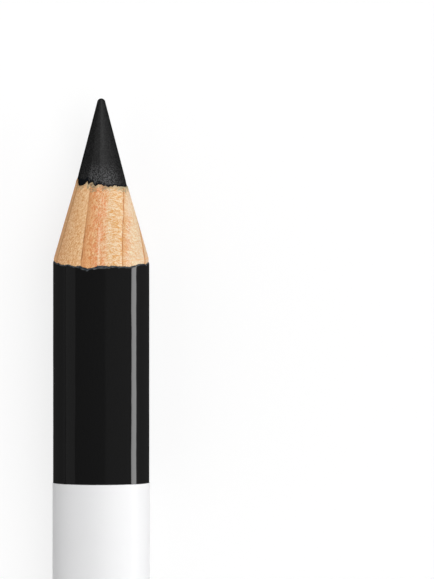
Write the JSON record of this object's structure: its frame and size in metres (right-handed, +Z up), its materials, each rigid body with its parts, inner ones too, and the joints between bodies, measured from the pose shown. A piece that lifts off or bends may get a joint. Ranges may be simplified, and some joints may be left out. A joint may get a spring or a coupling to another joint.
{
  "type": "eyeliner pencil",
  "caption": "Round wooden eyeliner pencil lying flat: sharpened dark lead and bare wood cone, black lacquer with a white middle, and a foam smudger in a glossy holder.",
  "frame": {"origin": "centre of the bounding box's bottom, on the surface that the pencil lies on, half way along its length", "axes": "+Y along the pencil towards the sharpened point, +Z up; the foam tip points to -Y"},
  "size_m": [0.0086, 0.134, 0.0087],
  "materials": {
    "lead": "waxy pigment, satin from the sharpener's cut",
    "wood": "bare cut wood, fine grain",
    "black_lacquer": "gloss lacquer",
    "white_lacquer": "gloss lacquer",
    "holder_plastic": "high gloss moulding",
    "foam": "open fine-pored foam"
  },
  "bodies": {
    "root": {"lead": "lead", "wood_slat_left": "wood", "wood_slat_right": "wood", "black_lacquer": "black_lacquer", "white_lacquer_band": "white_lacquer", "smudger_holder": "holder_plastic", "foam_tip": "foam"}
  },
  "joints": []
}
